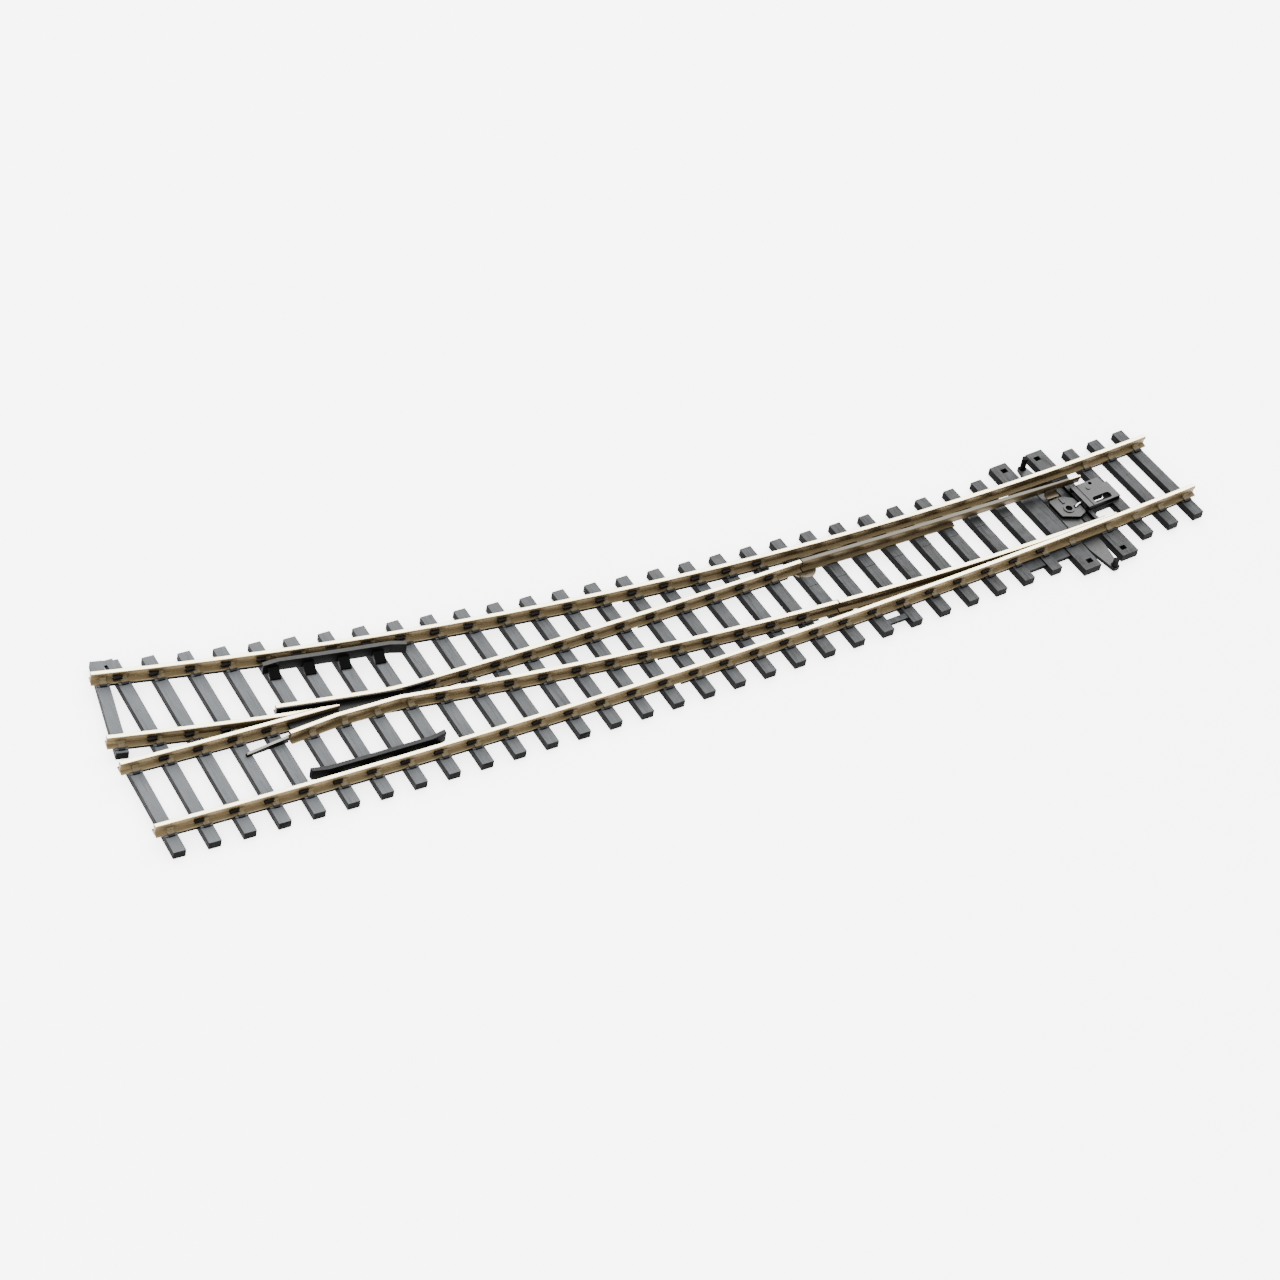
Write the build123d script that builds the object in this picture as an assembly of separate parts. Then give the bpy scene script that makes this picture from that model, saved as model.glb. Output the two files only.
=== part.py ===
from build123d import *
import math
import os

# A 16.5 mm gauge curved turnout, 256 mm long, with both routes bending the same way.
# Millimetres, Z up. Inside this file the track frame is used: the toe of the turnout is at
# (0, 0), the track runs towards -X, +Y is the inside of the curves and z = 0 is the underside
# of the sleepers. At the end every piece is shifted so that the whole stands centred on 0, 0.
# Places along a route are arc lengths "s" from the toe and offsets "t" from its centre line,
# positive towards the inside of the curve.

# ---- routes -----------------------------------------------------------------------------
GAUGE = 16.5
OUTER_RADIUS = 1881.0
INNER_RADIUS = 814.0
TANGENT_S = -13.2                  # where the inner route leaves the outer one, before the toe

# ---- rail section: flat-bottom rail, 2.54 high -------------------------------------------
RAIL_TOP = 4.5
RAIL_HEIGHT = 2.54
HEAD_WIDTH = 1.05
HEAD_DEPTH = 0.84
HEAD_UNDERCUT = 0.14
HEAD_CHAMFER = 0.12
WEB_WIDTH = 0.6
FOOT_WIDTH = 2.3
FOOT_EDGE = 0.34
FOOT_RISE = 0.22
RAIL_BOTTOM = RAIL_TOP - RAIL_HEIGHT
RAIL_AXIS = GAUGE / 2 + HEAD_WIDTH / 2
FLANGEWAY = 1.5

# ---- rail ends ---------------------------------------------------------------------------
TOE_END = 0.3
FRONT_STOCK_END = 255.5
REAR_STOCK_END = 253.6
FRONT_VEE_END = 255.5
REAR_VEE_END = 254.0

# ---- sleepers ----------------------------------------------------------------------------
SLEEPER_TOP = 1.85
SLEEPER_WIDTH = 2.7
SLEEPER_OVERHANG = 14.5
TOE_SLEEPERS = [2.9, 10.1, 17.3]
FIRST_SLEEPER = 42.95
SLEEPER_PITCH = 7.48
SLEEPER_COUNT = 29
SKEW_SLEEPER_S = 251.1
SKEW_SLEEPER_FRONT = 11.1
LAST_SLEEPER_REACH = 2.2
HEADBLOCKS = [25.0, 35.3]
HEADBLOCK_WIDTH = 4.4
HEADBLOCK_OVERHANG = 17.6
BOSS_NOTCH_FLOOR = 0.95
SLOT_S = [25.5, 34.9]
SLOT_T = 15.5
SLOT_SIZE = (1.5, 1.2)
STRIP_WIDTH = 1.9
STRIP_BOTTOM = 1.15
STRIP_TOP = 1.9
STRIP_BREAK = (136.9, 139.6)
PAD_HALF = 1.6
PAD_TOP = 2.03
CLAW_HALF_LENGTH = 0.68            # along the track; the sleepers are wider
CHAIR_HALF = 1.75
CHAIR_EDGE_TOP = 2.2
CHAIR_SHOULDER = 2.72
CHAIR_RIB_HALF = 0.66
CHAIR_TOP = 3.45
SLIDE_PAD_TOP = 1.93
SLIDE_PAD_T = 3.5
SWITCH_END = 99.0

# ---- switch ------------------------------------------------------------------------------
BLADE_TIP_S = 22.0
FRONT_HEEL_S = 93.3                # along the inner route
REAR_HEEL_S = 94.5                 # along the outer route
HEEL_GAP = 0.35
BLADE_TAIL = 0.9                   # how far the blade runs past its pivot
BLADE_FOOT_START = 56.0
PLANED_BOTTOM = 2.58
TIE_BAR_S = 30.1
THROW = 3.2
STOCK_CLEARANCE = 0.02
FOOT_CLEARANCE = 0.06
LUG_HALF = 1.5
PIN_RADIUS = 0.5
PIN_HOLE_RADIUS = 0.66
HEEL_PLATE_RADIUS = 2.8
HEEL_PLATE_BOTTOM = 1.5
HEEL_PLATE_TOP = 1.9
HEEL_PIN_RADIUS = 0.55
HEEL_PIN_BOTTOM = 0.7
HEEL_PIN_TOP = 2.25
HEEL_HOLE_RADIUS = 0.61

# ---- tie bar -----------------------------------------------------------------------------
BAR_BOTTOM = 0.3
BAR_TOP = 1.2
BAR_HALF_WIDTH = 2.1
BAR_END_HALF_WIDTH = 0.85
BAR_TAPER_START = 10.5
BAR_HALF_LENGTH = 17.6
BAR_CENTRE_T = -1.9
PIP_RADIUS = 0.65
REAR_PIP_TOP = 4.4
FRONT_PIP_TOP = 2.9
BOSS_TOP = 2.0
BOSS_CORNERS = [(26.0, -2.9), (28.2, -3.7), (31.9, -1.9), (31.9, 3.2), (28.0, 3.2), (26.0, 1.6)]
BOSS_CORNER_RADIUS = 0.6
DRIVE_HOLE = (29.1, -0.6)
DRIVE_HOLE_RADIUS = 0.8
COLLAR_RADIUS = 1.25
COLLAR_TOP = 2.22
BOSS_RIB = ((28.8, 29.4), (1.2, 2.9))
SPRING_LEG = (27.2, -0.7)
SPRING_SLOT_SIZE = (1.1, 0.86)

# ---- spring and its housing ----------------------------------------------------------------
SPRING_PIVOT = (19.6, 0.9)
SPRING_BOW = [(20.3, -1.5), (22.7, -1.45), (24.4, 0.0)]
WIRE_RADIUS = 0.22
SPRING_Z = 2.25
SPRING_LEG_BOTTOM = 1.1
SPRING_LOOP_RADIUS = 0.88
POST_RADIUS = 0.55
HOUSING_S = (16.4, 25.5)
HOUSING_T = (-3.2, 4.4)
HOUSING_BOTTOM = 0.6
COVER_S = (16.5, 25.4)
COVER_T = (-2.9, 3.9)
COVER_WINDOW = ((18.3, 23.1), (-2.45, -0.75))
COVER_TOP = 3.05
COVER_WALL = 0.5
COVER_ROOF = 0.45

# ---- crossing ------------------------------------------------------------------------------
KNUCKLE_START = 192.5
KNUCKLE_MIDDLE = 194.5
KNUCKLE_END = 196.8
WING_AXIS = GAUGE / 2 - FLANGEWAY - HEAD_WIDTH / 2
NOSE_S = 207.5
VEE_FOOT_TRIM = (200.0, 229.0)
VEE_SPLICE_GAP = 0.02
REAR_WING_END = 219.0
FRONT_WING_FLARE = 209.0
FRONT_WING_END = 220.0
WING_FLARE_OFFSET = 1.1
FLARE_PIECE_S = (220.4, 230.0)
FLARE_PIECE_T = (5.1, 4.2)
FLARE_PIECE_WIDTH = 0.6
FLARE_PIECE_TOP = (3.3, 2.6)
LINER = 0.25
LINER_START = 187.0
LINER_TOP = 4.42
FLANGEWAY_FLOOR = 3.3
FILLER_BOTTOM = 2.6
FILLER_START = 189.0
CHECK_WIDTH = 1.0
CHECK_BOTTOM = 1.85
CHECK_TOP = 4.45
FRONT_CHECK_S = (190.5, 220.5)
REAR_CHECK_S = (187.5, 218.5)
CHECK_FLARE = 3.5
CHECK_FLARE_OFFSET = 0.7
CHECK_FOOT_REACH = 2.6
CHECK_FOOT_HALF = 1.2
CHECK_FOOT_TOP = (2.3, 3.4)
CHECK_FEET = [FIRST_SLEEPER + SLEEPER_PITCH * n for n in (20, 21, 22, 23)]

OUTER_CENTRE = Vector(0, OUTER_RADIUS, 0)

# ---- smaller details -------------------------------------------------------------------------
PIN_T = (-6.7, 7.35)               # drive pins of the front and rear blade, closed
PIN_BOTTOM = 0.5
PIN_OVERLAP = 0.1
LUG_WEB_T = (-7.77, 8.44)
LUG_TOP = 3.4
LUG_THICKNESS = 0.6
LUG_SHELF_TOP = 2.35
LUG_REACH = 1.75
LUG_STEP = 0.22
LUG_GAP = 0.02
HEEL_PLAY = 0.05
HEEL_PLATE_PLAY = 0.02
BAR_CORNER_RADIUS = 0.5
PIP_INSET = PIP_RADIUS + 0.2
SPRING_BEND_RADIUS = 0.45
COVER_MOUTH_T = (SPRING_LEG[1] - 1.4, SPRING_LEG[1] + 4.0)
COVER_WINDOW_RADIUS = 0.7
COVER_CORNER_CUT = (1.2, 1.9)
COVER_HOLE = (20.5, 3.1)
COVER_HOLE_RADIUS = 0.45
COVER_GROOVE_S = (23.9, 24.2)
COVER_GROOVE_DEPTH = 0.15
STAKE = (21.8, 2.1)
STAKE_RADIUS = 0.55
STAKE_HEIGHT = 0.18
CHECK_FOOT_UNDER = 0.3
CHECK_FOOT_LEDGE = 0.4
FILLER_FLARE_SHARE = 0.9
FILLER_STATIONS = (212.0, 204.0)
LINER_BREAK = 0.5
FLARE_CUT = 3.0
FRONT_HALF = ((0, 110), (-13, 0))
WHOLE_WIDTH = (-13, 16)
STRIP_START = 2.0
STRIP_END_GAP = 3.0
STRAP_S = (36.5, 50.5)
STRAP_T = (-12.2, -9.0)
STRAP_Z = (0.6, 1.5)
TAB_S = (80.0, 87.5)
TAB_T = (-12.8, -11.4)
TAB_Z = (1.0, 1.7)
END_BRIDGE_S = (244.6, 248.6)
END_BRIDGE_T = (36.8, 38.2)
END_BRIDGE_Z = (STRIP_BOTTOM, STRIP_TOP - 0.1)
BOSS_NOTCH_S = (25.45, 28.0)
BOSS_NOTCH_T = (-5.7, 7.6)
TOE_NOTCH_S = (22.0, 24.5)
TOE_NOTCH_T = (-5.7, -3.2)
CHAIR_SPACE = 0.1


def divergence(s):
    """How far the inner route's centre line lies inside the outer one, along a sleeper."""
    point = inner_point(s, 0)
    return OUTER_RADIUS - math.dist((point.X, point.Y), (OUTER_CENTRE.X, OUTER_CENTRE.Y))


def outer_point(s, t, z=0.0):
    angle = s / OUTER_RADIUS
    radius = OUTER_RADIUS - t
    return Vector(-radius * math.sin(angle), OUTER_RADIUS - radius * math.cos(angle), z)


def outer_normal(s):
    return Vector(math.sin(s / OUTER_RADIUS), math.cos(s / OUTER_RADIUS), 0)


TANGENT_ANGLE = TANGENT_S / OUTER_RADIUS
INNER_CENTRE = outer_point(TANGENT_S, 0) + outer_normal(TANGENT_S) * INNER_RADIUS


def inner_angle(s):
    return TANGENT_ANGLE + (s - TANGENT_S) / INNER_RADIUS


def inner_point(s, t, z=0.0):
    angle = inner_angle(s)
    radius = INNER_RADIUS - t
    return INNER_CENTRE + Vector(-radius * math.sin(angle), -radius * math.cos(angle), z)


def inner_normal(s):
    return Vector(math.sin(inner_angle(s)), math.cos(inner_angle(s)), 0)


def to_outer(point):
    """Track coordinates (s, t) on the outer route of a point."""
    reach = Vector(point.X, point.Y, 0) - OUTER_CENTRE
    return OUTER_RADIUS * math.atan2(-reach.X, -reach.Y), OUTER_RADIUS - reach.length


def inner_arc_at(s, offset):
    """The arc length on the inner route where its line at an offset meets s on the outer one."""
    guess = s
    for _ in range(6):
        guess += s - to_outer(inner_point(guess, offset))[0]
    return guess


def inner_offset_at(s, offset):
    """The t on the outer route, at arc length s, of the inner route's line at an offset."""
    return to_outer(inner_point(inner_arc_at(s, offset), offset))[1]


# ---- shapes that follow a route ------------------------------------------------------------
def rail_outline(axis):
    """The rail section as (distance from the route centre, height) points."""
    half_head = HEAD_WIDTH / 2
    half_web = WEB_WIDTH / 2
    half_foot = FOOT_WIDTH / 2
    head_bottom = RAIL_TOP - HEAD_DEPTH
    side = [
        (half_foot, RAIL_BOTTOM),
        (half_foot, RAIL_BOTTOM + FOOT_EDGE),
        (half_web, RAIL_BOTTOM + FOOT_EDGE + FOOT_RISE),
        (half_web, head_bottom - HEAD_UNDERCUT),
        (half_head, head_bottom),
        (half_head, RAIL_TOP - HEAD_CHAMFER),
        (half_head - HEAD_CHAMFER, RAIL_TOP),
    ]
    left = [(-x, z) for x, z in reversed(side)]
    return [(axis + x, z) for x, z in side + left]


def swept_arc(centre, start_angle, end_angle, outline):
    """Turn a (radius, height) outline about a vertical axis, from one heading to another."""
    outward = Vector(-math.sin(start_angle), -math.cos(start_angle), 0)
    plane = Plane(origin=centre, x_dir=outward, z_dir=outward.cross(Vector(0, 0, 1)))
    face = plane * make_face(Polyline(*outline, close=True))
    axis = Axis(centre, Vector(0, 0, -1))
    return revolve(face, axis, math.degrees(end_angle - start_angle))


def outer_strip(s_range, outline):
    """Sweep an outline of (t, z) points along the outer route."""
    points = [(OUTER_RADIUS - t, z) for t, z in outline]
    angles = [s / OUTER_RADIUS for s in s_range]
    return swept_arc(OUTER_CENTRE, angles[0], angles[1], points)


def inner_strip(s_range, outline):
    """Sweep an outline of (t, z) points along the inner route."""
    points = [(INNER_RADIUS - t, z) for t, z in outline]
    angles = [inner_angle(s) for s in s_range]
    return swept_arc(INNER_CENTRE, angles[0], angles[1], points)


def rectangle(t_low, t_high, z_low, z_high):
    return [(t_low, z_low), (t_high, z_low), (t_high, z_high), (t_low, z_high)]


def outer_rail(s_range, axis):
    return outer_strip(s_range, rail_outline(axis))


def inner_rail(s_range, axis):
    return inner_strip(s_range, rail_outline(axis))


def across(s, s_half, outline, normal=outer_normal, point=outer_point):
    """A prism lying across the track: an outline of (t, z) points, s_half each way along it."""
    direction = normal(s)
    along = direction.cross(Vector(0, 0, 1))
    plane = Plane(origin=point(s, 0), x_dir=direction, z_dir=along)
    face = plane * make_face(Polyline(*outline, close=True))
    return extrude(face, amount=s_half, both=True)


def block(s_range, t_range, z_range):
    """A plain block in the outer route's coordinates."""
    middle = (s_range[0] + s_range[1]) / 2
    half = (s_range[1] - s_range[0]) / 2
    return across(middle, half, rectangle(*t_range, *z_range))


def post(s, t, radius, z_low, z_high):
    foot = outer_point(s, t, z_low)
    return Pos(foot.X, foot.Y, z_low) * extrude(Circle(radius), amount=z_high - z_low)


def plate(corners, z_low, z_high, radius=0.0):
    """A flat plate from (s, t) corners, its corners rounded."""
    points = [outer_point(s, t, z_low) for s, t in corners]
    face = make_face(Polyline(*points, close=True))
    if radius:
        face = fillet(face.vertices(), radius)
    return extrude(face, amount=z_high - z_low, dir=(0, 0, 1))


def ordered_corners(s_range, t_range):
    return [
        (s_range[0], t_range[0]),
        (s_range[1], t_range[0]),
        (s_range[1], t_range[1]),
        (s_range[0], t_range[1]),
    ]


# ---- stock rails -----------------------------------------------------------------------------
def make_front_stock_rail():
    return outer_rail((TOE_END, FRONT_STOCK_END), -RAIL_AXIS)


def make_rear_stock_rail():
    return inner_rail((TOE_END, REAR_STOCK_END), RAIL_AXIS)


# ---- closure, wing and vee rails -----------------------------------------------------------
def straight_rails(points):
    """Short straight runs of rail through flat points, each overlapping the next a little."""
    overlap = 0.09
    pieces = []
    for start, end in zip(points, points[1:]):
        along = (end - start).normalized()
        across_rail = Vector(0, 0, 1).cross(along)
        plane = Plane(origin=start - along * overlap, x_dir=across_rail, z_dir=along)
        face = plane * make_face(Polyline(*rail_outline(0), close=True))
        pieces.append(extrude(face, amount=(end - start).length + 2 * overlap))
    return pieces


def make_front_closure_rail():
    """The inner route's outer rail from the heel to the knuckle, and its wing past it."""
    closure = inner_rail((FRONT_HEEL_S + BLADE_TAIL + HEEL_GAP, KNUCKLE_START), -RAIL_AXIS)
    bend = [
        inner_point(KNUCKLE_START, -RAIL_AXIS),
        outer_point(KNUCKLE_MIDDLE, WING_AXIS - 0.04),
        outer_point(KNUCKLE_END, WING_AXIS),
    ]
    wing = outer_rail((KNUCKLE_END, FRONT_WING_FLARE), WING_AXIS)
    flare = [
        outer_point(FRONT_WING_FLARE, WING_AXIS),
        outer_point(FRONT_WING_END, WING_AXIS - WING_FLARE_OFFSET),
    ]
    return closure.fuse(wing, *straight_rails(bend), *straight_rails(flare))


def make_rear_closure_rail():
    """The outer route's inner rail from the heel to the knuckle, and its wing past it."""
    closure = outer_rail((REAR_HEEL_S + BLADE_TAIL + HEEL_GAP, KNUCKLE_START), RAIL_AXIS)
    bend = [
        outer_point(KNUCKLE_START, RAIL_AXIS),
        inner_point(KNUCKLE_MIDDLE, 0.04 - WING_AXIS),
        inner_point(KNUCKLE_END, -WING_AXIS),
    ]
    wing = inner_rail((KNUCKLE_END, REAR_WING_END), -WING_AXIS)
    return closure.fuse(wing, *straight_rails(bend))


def cylinder_about(centre, radius, z_low, z_high):
    return Pos(centre.X, centre.Y, z_low) * extrude(Circle(radius), amount=z_high - z_low)


def make_front_vee_rail():
    """The outer route's inner rail beyond the crossing. It carries the blunt nose."""
    rail = outer_rail((NOSE_S, FRONT_VEE_END), RAIL_AXIS)
    gauge_side = cylinder_about(INNER_CENTRE, INNER_RADIUS + GAUGE / 2, 0, RAIL_TOP + 1)
    foot = rectangle(RAIL_AXIS + HEAD_WIDTH / 2, RAIL_AXIS + FOOT_WIDTH, RAIL_BOTTOM - 1, FILLER_BOTTOM)
    return rail - gauge_side - outer_strip(VEE_FOOT_TRIM, foot)


def make_rear_vee_rail():
    """The inner route's outer rail beyond the crossing, planed to lie along the other one."""
    rail = inner_rail((NOSE_S, REAR_VEE_END), -RAIL_AXIS)
    splice_radius = OUTER_RADIUS - RAIL_AXIS - HEAD_WIDTH / 2 - VEE_SPLICE_GAP
    return rail & cylinder_about(OUTER_CENTRE, splice_radius, 0, RAIL_TOP + 1)


# ---- blades ----------------------------------------------------------------------------------
def heel_point(side):
    """The blade's pivot: on the rail's own centre line, at the heel."""
    if side == "front":
        return inner_point(FRONT_HEEL_S, -RAIL_AXIS)
    return outer_point(REAR_HEEL_S, RAIL_AXIS)


def pin_point(side):
    """The drive pin's place in the tie bar while this blade is closed."""
    if side == "front":
        return outer_point(TIE_BAR_S, PIN_T[0])
    return outer_point(TIE_BAR_S, PIN_T[1])


def open_angle(side):
    """How far a blade swings about its heel for the full throw of the tie bar."""
    return math.asin(THROW / (pin_point(side) - heel_point(side)).length)


def bar_hole_point(side):
    """Where the tie bar's hole for a drive pin lies at rest.

    The pin moves on an arc and the bar in a straight line, so the hole is centred on the
    middle of the pin's path as the bar sees it.
    """
    closed = Vertex(pin_point(side))
    turn = math.degrees(open_angle(side))
    heel_axis = Axis(heel_point(side), Vector(0, 0, 1))
    slide = outer_normal(TIE_BAR_S) * THROW
    if side == "front":
        at_rest = closed.center()
        thrown = closed.rotate(heel_axis, turn).center()
    else:
        at_rest = closed.rotate(heel_axis, -turn).center()
        thrown = closed.center()
    return (at_rest + thrown - slide) * 0.5


def heel_hole(side):
    heel = heel_point(side)
    hole = extrude(Circle(HEEL_HOLE_RADIUS), amount=HEEL_PIN_TOP + HEEL_PLAY)
    return Pos(heel.X, heel.Y, 0) * hole


def make_closed_blade(side):
    """A blade lying against its stock rail, planed away wherever the stock rail is."""
    half_gauge = GAUGE / 2
    stock_foot = RAIL_AXIS - FOOT_WIDTH / 2
    if side == "front":
        blade = inner_rail((BLADE_TIP_S, FRONT_HEEL_S + BLADE_TAIL), -RAIL_AXIS)
        head_limit = OUTER_RADIUS + half_gauge - STOCK_CLEARANCE
        foot_limit = OUTER_RADIUS + stock_foot - FOOT_CLEARANCE
        kept_head = cylinder_about(OUTER_CENTRE, head_limit, 0, RAIL_TOP + 1)
        kept_foot = cylinder_about(OUTER_CENTRE, foot_limit, 0, RAIL_TOP + 1)
        low_stock_side = block(*FRONT_HALF, (0, PLANED_BOTTOM)) - kept_foot
        blade = (blade & kept_head) - low_stock_side
    else:
        blade = outer_rail((BLADE_TIP_S, REAR_HEEL_S + BLADE_TAIL), RAIL_AXIS)
        head_limit = INNER_RADIUS - half_gauge + STOCK_CLEARANCE
        foot_limit = INNER_RADIUS - stock_foot + FOOT_CLEARANCE
        blade = blade - cylinder_about(INNER_CENTRE, head_limit, 0, RAIL_TOP + 1)
        blade = blade - cylinder_about(INNER_CENTRE, foot_limit, 0, PLANED_BOTTOM)
    foot_free = block((BLADE_TIP_S - 2, BLADE_FOOT_START), WHOLE_WIDTH, (0, PLANED_BOTTOM))
    return blade - foot_free - heel_hole(side)


def make_closed_lug(side):
    """A bracket on the blade's web, which reaches down past the stock rail's foot."""
    web = LUG_WEB_T[0] if side == "front" else LUG_WEB_T[1]
    into = 1 if side == "front" else -1
    back = web + into * LUG_STEP
    outline = [
        (web, PLANED_BOTTOM + LUG_GAP),
        (web, LUG_TOP),
        (web + into * LUG_THICKNESS, LUG_TOP),
        (web + into * LUG_THICKNESS, LUG_SHELF_TOP),
        (web + into * LUG_REACH, LUG_SHELF_TOP),
        (web + into * LUG_REACH, RAIL_BOTTOM),
        (back, RAIL_BOTTOM),
        (back, PLANED_BOTTOM + LUG_GAP),
    ]
    bracket = across(TIE_BAR_S, LUG_HALF, outline)
    foot = pin_point(side)
    pin_height = RAIL_BOTTOM + PIN_OVERLAP - PIN_BOTTOM
    pin = Pos(foot.X, foot.Y, PIN_BOTTOM) * extrude(Circle(PIN_RADIUS), amount=pin_height)
    return bracket.fuse(pin)


def opened(shape):
    """The rear blade's parts turned about its heel to where they rest, standing open."""
    heel = heel_point("rear")
    axis = Axis(heel, Vector(0, 0, 1))
    return shape.rotate(axis, -math.degrees(open_angle("rear")))


def make_heel_plate(side):
    heel = heel_point(side)
    disc = extrude(Circle(HEEL_PLATE_RADIUS), amount=HEEL_PLATE_TOP - HEEL_PLATE_BOTTOM)
    hole = extrude(Circle(HEEL_HOLE_RADIUS), amount=HEEL_PLATE_TOP - HEEL_PLATE_BOTTOM)
    return Pos(heel.X, heel.Y, HEEL_PLATE_BOTTOM) * (disc - hole)


def make_heel_pin(side):
    heel = heel_point(side)
    pin = extrude(Circle(HEEL_PIN_RADIUS), amount=HEEL_PIN_TOP - HEEL_PIN_BOTTOM)
    return Pos(heel.X, heel.Y, HEEL_PIN_BOTTOM) * pin


# ---- tie bar, spring and cover ---------------------------------------------------------------
def make_tie_bar():
    """The sliding bar with a pip at each end and a raised boss with the drive hole."""
    front = BAR_CENTRE_T - BAR_HALF_LENGTH
    rear = BAR_CENTRE_T + BAR_HALF_LENGTH
    corners = [
        (TIE_BAR_S - BAR_END_HALF_WIDTH, front),
        (TIE_BAR_S + BAR_END_HALF_WIDTH, front),
        (TIE_BAR_S + BAR_HALF_WIDTH, BAR_CENTRE_T - BAR_TAPER_START),
        (TIE_BAR_S + BAR_HALF_WIDTH, BAR_CENTRE_T + BAR_TAPER_START),
        (TIE_BAR_S + BAR_END_HALF_WIDTH, rear),
        (TIE_BAR_S - BAR_END_HALF_WIDTH, rear),
        (TIE_BAR_S - BAR_HALF_WIDTH, BAR_CENTRE_T + BAR_TAPER_START),
        (TIE_BAR_S - BAR_HALF_WIDTH, BAR_CENTRE_T - BAR_TAPER_START),
    ]
    bar = plate(corners, BAR_BOTTOM, BAR_TOP, BAR_CORNER_RADIUS)
    boss = plate(BOSS_CORNERS, BAR_TOP, BOSS_TOP, BOSS_CORNER_RADIUS)
    collar = post(*DRIVE_HOLE, COLLAR_RADIUS, BAR_TOP, COLLAR_TOP)
    rib = block(*BOSS_RIB, (BAR_TOP, COLLAR_TOP))
    front_pip = post(TIE_BAR_S, front + PIP_INSET, PIP_RADIUS, BAR_TOP, FRONT_PIP_TOP)
    rear_pip = post(TIE_BAR_S, rear - PIP_INSET, PIP_RADIUS, BAR_TOP, REAR_PIP_TOP)
    bar = bar.fuse(boss, collar, rib, front_pip, rear_pip)
    drive_hole = post(*DRIVE_HOLE, DRIVE_HOLE_RADIUS, 0, RAIL_TOP)
    half_s, half_t = SPRING_SLOT_SIZE[0] / 2, SPRING_SLOT_SIZE[1] / 2
    spring_slot = block(
        (SPRING_LEG[0] - half_s, SPRING_LEG[0] + half_s),
        (SPRING_LEG[1] - half_t, SPRING_LEG[1] + half_t),
        (0, RAIL_TOP),
    )
    bar = bar - drive_hole - spring_slot
    for place in (bar_hole_point("front"), bar_hole_point("rear")):
        bar = bar - Pos(place.X, place.Y, 0) * extrude(Circle(PIN_HOLE_RADIUS), amount=RAIL_TOP)
    return bar


def make_toggle_spring():
    """A bent wire: a coil round the post, a bowed arm and a leg down into the tie bar."""
    loop = Pos(*outer_point(*SPRING_PIVOT, SPRING_Z)) * Torus(SPRING_LOOP_RADIUS, WIRE_RADIUS)
    start = outer_point(SPRING_PIVOT[0] - SPRING_LOOP_RADIUS, SPRING_PIVOT[1], SPRING_Z)
    bow = [outer_point(s, t, SPRING_Z) for s, t in SPRING_BOW]
    leg_top = outer_point(*SPRING_LEG, SPRING_Z)
    leg_foot = outer_point(*SPRING_LEG, SPRING_LEG_BOTTOM)
    route = FilletPolyline(start, *bow, leg_top, leg_foot, radius=SPRING_BEND_RADIUS)
    section = Plane(origin=start, z_dir=route % 0) * Circle(WIRE_RADIUS)
    return loop.fuse(sweep(section, path=route))


def make_spring_cover():
    """The cap over the spring: a roof on walls, with a window and an open side to the bar."""
    s_low, s_high = COVER_S
    t_low, t_high = COVER_T
    cover = block(COVER_S, COVER_T, (SLEEPER_TOP, COVER_TOP))
    inside = block(
        (s_low + COVER_WALL, s_high + 0.1),
        (t_low + COVER_WALL, t_high - COVER_WALL),
        (SLEEPER_TOP - 0.1, COVER_TOP - COVER_ROOF),
    )
    lip = block(
        (s_high - COVER_WALL, s_high), (t_low, COVER_MOUTH_T[0]), (SLEEPER_TOP, COVER_TOP)
    )
    far_lip = block(
        (s_high - COVER_WALL, s_high), (COVER_MOUTH_T[1], t_high), (SLEEPER_TOP, COVER_TOP)
    )
    window = plate(ordered_corners(*COVER_WINDOW), COVER_TOP - 1, COVER_TOP + 1, COVER_WINDOW_RADIUS)
    cut_s, cut_t = COVER_CORNER_CUT
    corner_cut = block((s_low - 1, s_low + cut_s), (t_high - cut_t, t_high + 1), (0, COVER_TOP + 1))
    hole = post(*COVER_HOLE, COVER_HOLE_RADIUS, SLEEPER_TOP, COVER_TOP + 1)
    groove_floor = COVER_TOP - COVER_GROOVE_DEPTH
    groove = block(COVER_GROOVE_S, (t_low - 1, t_high + 1), (groove_floor, COVER_TOP + 1))
    stake = post(*STAKE, STAKE_RADIUS, COVER_TOP - 0.1, COVER_TOP + STAKE_HEIGHT)
    cover = (cover - inside).fuse(lip, far_lip)
    return (cover - window - corner_cut - hole - groove).fuse(stake)


# ---- check rails and crossing mouldings --------------------------------------------------------
def flared_end(point, s_inner, s_outer, low, high, shift):
    corners = [point(s_inner, low), point(s_outer, low + shift)]
    corners += [point(s_outer, high + shift), point(s_inner, high)]
    raised = [Vector(corner.X, corner.Y, CHECK_BOTTOM) for corner in corners]
    face = make_face(Polyline(*raised, close=True))
    amount = CHECK_TOP - CHECK_BOTTOM
    return extrude(face, amount=amount, dir=(0, 0, 1))


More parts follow.
